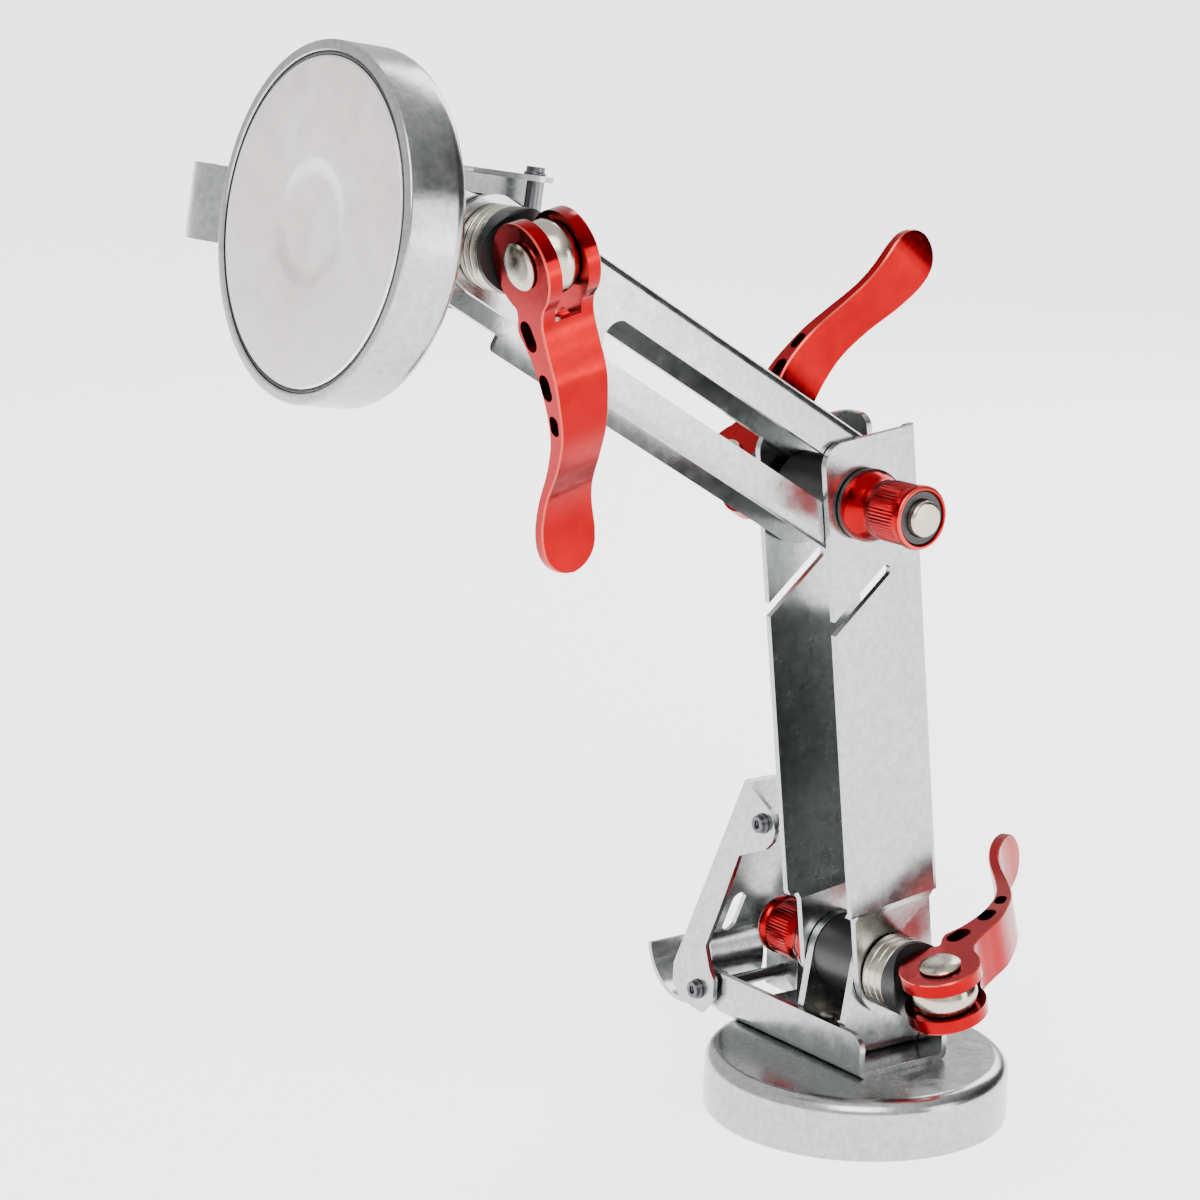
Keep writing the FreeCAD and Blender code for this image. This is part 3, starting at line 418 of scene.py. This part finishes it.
def lever_section(along):
    """Outer height, inner height and half width of the lever at one distance along it."""
    low, high = curve_at(BLADE_OUT, along), curve_at(BLADE_IN, along)
    reach = EAR_RADIUS ** 2 - (along - EAR_CENTRE) ** 2
    if reach >= 0:
        low = min(low, EAR_CENTRE - math.sqrt(reach)) if along > 1 else EAR_CENTRE - math.sqrt(reach)
        high = EAR_CENTRE + math.sqrt(reach) if along < 6 else max(high, EAR_CENTRE + math.sqrt(reach))
    half = curve_at(BLADE_HALF, along)
    from_tip = along - (LEVER_TIP - TIP_RADIUS)
    if from_tip > 0:
        half = min(half, math.sqrt(max(TIP_RADIUS ** 2 - from_tip ** 2, 0.04)))
    return low, high, half


def lever_stations():
    """Distances along the lever, close together where its outline turns fast."""
    stations = [EAR_CENTRE - EAR_RADIUS * math.cos(math.radians(step)) for step in range(5, 90, 5)]
    stations += [1.2 + 0.7 * step for step in range(82)]
    last = LEVER_TIP - TIP_RADIUS
    stations += [last + TIP_RADIUS * math.sin(math.radians(step)) for step in range(4, 90, 5)]
    return sorted(station for station in stations if station <= LEVER_TIP)


def cam_lever_mesh():
    build = bmesh.new()
    rings = []
    for along in lever_stations():
        low, high, half = lever_section(along)
        corner = min(LEVER_CHAMFER, (high - low) * 0.3, half * 0.4)
        spots = [(half - corner, high), (half, high - corner), (half, low + corner),
                 (half - corner, low), (corner - half, low), (-half, low + corner),
                 (-half, high - corner), (corner - half, high)]
        rings.append([build.verts.new((x * MM, along * MM, z * MM)) for x, z in spots])
    for here, there in zip(rings, rings[1:]):
        for side in range(8):
            after = (side + 1) % 8
            face = build.faces.new((here[side], here[after], there[after], there[side]))
            # The four chamfer faces get the paler red, a painted highlight along the lever's edges.
            face.material_index = 1 if side in (0, 2, 4, 6) else 0
    build.faces.new(rings[0][::-1])
    build.faces.new(rings[-1])
    bmesh.ops.recalc_face_normals(build, faces=build.faces)
    mesh = bpy.data.meshes.new("cam_lever")
    build.to_mesh(mesh)
    build.free()
    mesh.materials.append(RED)
    mesh.materials.append(RED_EDGE_HIGHLIGHT)
    return mesh


def cutter(build_shape):
    """Mesh object to cut with, removed once it has been used."""
    build = bmesh.new()
    build_shape(build)
    bmesh.ops.recalc_face_normals(build, faces=build.faces)
    mesh = bpy.data.meshes.new("cutter")
    build.to_mesh(mesh)
    build.free()
    mesh.materials.append(RED)
    mesh.materials.append(RED_EDGE_HIGHLIGHT)
    obj = bpy.data.objects.new("cutter", mesh)
    bpy.context.scene.collection.objects.link(obj)
    return obj


def prism(build, outline, reach):
    """Closed prism from minus reach to plus reach of a flat outline in millimetres."""
    ends = [[build.verts.new((spot + shift) * MM) for spot in outline] for shift in (-reach, reach)]
    build.faces.new(ends[0])
    build.faces.new(ends[1][::-1])
    for step in range(len(outline)):
        after = (step + 1) % len(outline)
        build.faces.new((ends[0][step], ends[0][after], ends[1][after], ends[1][step]))


def oblong(along, height, length, width, slope):
    """Cutter shape of one lightening slot, right across the lever."""
    def shape(build):
        direction = Vector((0, math.cos(math.radians(slope)), math.sin(math.radians(slope))))
        across = Vector((0, -direction.z, direction.y))
        middle, radius = Vector((0, along, height)), width / 2
        outline = []
        for side, start in ((1, -90), (-1, 90)):
            for step in range(13):
                angle = math.radians(start + 180 * step / 12)
                outline.append(middle + direction * (side * (length / 2 - radius)
                                                     + radius * math.cos(angle))
                               + across * radius * math.sin(angle))
        prism(build, outline, Vector((9, 0, 0)))
    return shape


def fork_shape(build):
    """Cutter shape of the gap that the rod's eye sits in."""
    outline = [(FORK_HALF, -14.0), (FORK_HALF, FORK_DEPTH)]
    outline += [(-x, y) for x, y in reversed(outline)]
    prism(build, [Vector((x, y, 0)) for x, y in outline], Vector((0, 0, 20)))


def cut_lever():
    """Lever mesh with its fork and slots cut, shared by all three levers."""
    obj = bpy.data.objects.new("cam_lever_blank", cam_lever_mesh())
    bpy.context.scene.collection.objects.link(obj)
    tools = [cutter(fork_shape)] + [cutter(oblong(*slot)) for slot in LEVER_SLOTS]
    for tool in tools:
        step = obj.modifiers.new("cut", "BOOLEAN")
        step.operation = "DIFFERENCE"
        step.solver = "EXACT"
        step.object = tool
    bpy.context.view_layer.update()
    evaluated = obj.evaluated_get(bpy.context.evaluated_depsgraph_get())
    mesh = bpy.data.meshes.new_from_object(evaluated)
    for item in tools + [obj]:
        bpy.data.objects.remove(item)
    shade(mesh, 30)
    return mesh


lever_mesh = cut_lever()


def cam_lever(end, matrix):
    obj = bpy.data.objects.new(end + "_cam_lever_look", lever_mesh.copy())
    soften(obj, 0.25 * MM, degrees=60)
    finish_piece(obj, end + "_cam_lever", matrix)


# --------------------------------------------------------------------------- rods and pins
EYE_RADIUS, EYE_HALF, EYE_CROWN = 7.4, 2.7, 1.0
PIN_PROFILE = [(0.02, -7.63), (2.2, -7.5), (3.4, -7.2), (3.8, -6.9), (3.8, -6.63), (3.0, -6.63),
               (3.0, 6.63), (4.65, 6.63), (4.7, 7.0), (4.4, 7.35), (3.7, 7.7), (2.6, 7.95),
               (1.3, 8.09), (0.02, 8.13)]


def skewer_rod(end, matrix, seat):
    """Copy of the CAD rod whose eye is crowned like a barrel."""
    obj = edged_copy(end + "_skewer_rod", matrix, 0.1 * MM)
    build = bmesh.new()
    build.from_mesh(obj.data)
    for x in (-2.2, -1.5, -0.7, 0.0, 0.7, 1.5, 2.2):
        bmesh.ops.bisect_plane(build, geom=build.verts[:] + build.edges[:] + build.faces[:],
                               dist=1e-7, plane_co=(x * MM, 0, 0), plane_no=(1, 0, 0))
    eye_z = -(seat + CAM_STANDOFF) * MM
    for vert in build.verts:
        y, z = vert.co.y, vert.co.z - eye_z
        reach = math.hypot(y, z)
        if abs(reach - EYE_RADIUS * MM) < 0.05 * MM and z < EYE_HALF * MM:
            crowned = EYE_RADIUS - EYE_CROWN * (vert.co.x / (EYE_HALF * MM)) ** 2
            vert.co.y, vert.co.z = y * crowned * MM / reach, eye_z + z * crowned * MM / reach
    build.to_mesh(obj.data)
    build.free()
    shade(obj.data)


def cam_pin(end, matrix, head_side):
    """Pin with a domed head at one side of the fork and a small rivet at the other."""
    mesh = turned_mesh(end + "_pin", scaled(PIN_PROFILE), 96)
    mesh.transform(Matrix.Rotation(math.radians(90 * head_side), 4, "Y"))
    mesh.materials.append(NICKEL)
    shade(mesh, 35)
    finish_piece(bpy.data.objects.new(end + "_cam_pin_look", mesh), end + "_cam_pin", matrix)


# --------------------------------------------------------------------------- the clamp
def swung(matrix, degrees):
    """Frame of a lever about its pin, turned outwards by the given angle."""
    return matrix @ Matrix.Rotation(-math.radians(degrees), 4, "X")


for end, matrix in HEADS.items():
    magnet_cup(end, matrix)
    magnet_disc(end, matrix)
    resin_ring(end, matrix)
    for piece in ("base_channel", "clevis_bracket", "clevis_screws", "release_lever",
                  "release_pivot_bolt", "release_pivot_nut", "release_top_bolt",
                  "release_top_nut"):
        is_bolt = piece.endswith(("_bolt", "_nut"))
        edged_copy("%s_%s" % (end, piece), matrix, material=BOLT if is_bolt else None)

edged_copy("lower_arm")
edged_copy("upper_arm")

for end, (matrix, swing, arm_face, head_side) in SKEWERS.items():
    seat = arm_face + FACE_GAP
    skewer_rod(end, matrix, seat)
    for piece in ("spacer_tube", "steel_washers", "cam_cup", "nut_insert", "nut_washer"):
        edged_copy("%s_%s" % (end, piece), matrix)
    pin = swung(matrix @ Matrix.Translation((0, 0, -(seat + CAM_STANDOFF) * MM)), swing)
    cam_lever(end, pin)
    cam_pin(end, pin, head_side)
    knurled_nut(end, matrix @ Matrix.Translation((0, 0, (seat + 0.93) * MM)))

# --------------------------------------------------------------------------- room and light
LIGHT_TARGET = Vector((-0.05, 0, 0.12))


def floor():
    """White paper that glows a little, so that it stays pale up to the horizon."""
    bpy.ops.mesh.primitive_plane_add(size=60, location=(0, 0, -0.0002))
    plane = bpy.context.object
    plane.name = "floor"
    paper, _, shader = new_material("floor", 0.0, 0.7)
    shader.inputs["Base Color"].default_value = (0.92, 0.92, 0.92, 1)
    shader.inputs["Emission Color"].default_value = (1, 1, 1, 1)
    shader.inputs["Emission Strength"].default_value = 2.2
    plane.data.materials.append(paper)


def area_light(name, spot, size, power):
    """Soft box that faces the middle of the clamp."""
    data = bpy.data.lights.new(name, "AREA")
    data.shape = "RECTANGLE"
    data.size, data.size_y = size
    data.energy = power
    lamp = bpy.data.objects.new(name, data)
    lamp.location = spot
    lamp.rotation_euler = (LIGHT_TARGET - Vector(spot)).to_track_quat("-Z", "Y").to_euler()
    bpy.context.scene.collection.objects.link(lamp)


def camera():
    """Long lens, at the angle and distance that the clamp was seen from."""
    azimuth, elevation, roll = (math.radians(a) for a in (-36.009, 12.3, 1.373))
    back = Vector((math.sin(azimuth) * math.cos(elevation), -math.cos(azimuth) * math.cos(elevation),
                   math.sin(elevation)))
    right = Vector((math.cos(azimuth), math.sin(azimuth), 0))
    up = back.cross(right)
    right, up = (right * math.cos(roll) + up * math.sin(roll),
                 up * math.cos(roll) - right * math.sin(roll))
    target = right * -61.687 * MM + Vector((0, 0, 119.738 * MM))
    data = bpy.data.cameras.new("camera")
    data.lens = 94.92
    data.sensor_width = 36
    data.clip_start = 0.05
    eye = bpy.data.objects.new("camera", data)
    eye.matrix_world = axes_matrix(right, up, back, target + back * 708.209 * MM)
    bpy.context.scene.collection.objects.link(eye)
    bpy.context.scene.camera = eye


def sky():
    """White studio with a darker band low on the +X side, for contrast in the plating."""
    world = bpy.data.worlds.new("studio")
    world.use_nodes = True
    tree = world.node_tree
    place = tree.nodes.new("ShaderNodeTexCoord")
    facing = tree.nodes.new("ShaderNodeVectorMath")
    facing.operation = "DOT_PRODUCT"
    facing.inputs[1].default_value = (0.85, -0.35, -0.25)
    tree.links.new(place.outputs["Generated"], facing.inputs[0])
    shadow = ramp(tree, facing.outputs["Value"], [(0.1, 1.0), (0.7, 0.05)])
    background = tree.nodes["Background"]
    tree.links.new(shadow.outputs["Color"], background.inputs["Color"])
    background.inputs["Strength"].default_value = 1.15
    bpy.context.scene.world = world


floor()
area_light("key", (-0.7, -0.9, 1.1), (0.9, 0.9), 20)
area_light("rim", (0.9, 0.5, 0.8), (0.5, 0.9), 9)
area_light("low", (0.5, -1.0, 0.25), (0.4, 0.6), 4)
camera()
sky()
